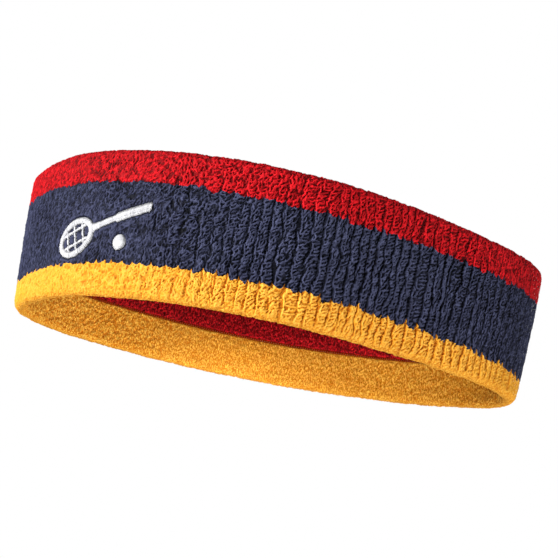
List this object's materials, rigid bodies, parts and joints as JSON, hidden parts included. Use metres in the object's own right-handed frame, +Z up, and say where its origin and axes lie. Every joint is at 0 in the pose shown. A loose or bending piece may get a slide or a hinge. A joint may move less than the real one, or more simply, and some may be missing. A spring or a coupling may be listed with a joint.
{
  "type": "sports headband",
  "caption": "Striped terry headband for racket sports: a knitted tube folded double into an oval ring, with a closing seam inside and a small embroidered mark.",
  "frame": {"origin": "centre of the band's bounding box in plan, at the lower rim on which it rests", "axes": "+Z up as worn, from the yellow rim to the red rim; +X along the long axis of the oval, towards its tighter end; -Y is the side with the embroidered mark"},
  "size_m": [0.1966, 0.1686, 0.05],
  "materials": {
    "red_terry": "looped cotton terry pile",
    "navy_terry": "looped cotton terry pile",
    "yellow_terry": "looped cotton terry pile",
    "ground_yarn": "fine nylon jersey",
    "elastic": "covered elastic thread",
    "seam_thread": "chained thread",
    "emblem_thread": "satin-stitched rayon thread",
    "bobbin_thread": "matt polyester thread",
    "backing": "non-woven stabiliser"
  },
  "bodies": {
    "root": {"red_terry": "red_terry", "navy_terry": "navy_terry", "yellow_terry": "yellow_terry", "ground_knit": "ground_yarn", "elastic_threads": "elastic", "closing_seam": "seam_thread", "emblem_stitching": "emblem_thread", "emblem_bobbin_thread": "bobbin_thread", "emblem_backing": "backing"}
  },
  "joints": []
}
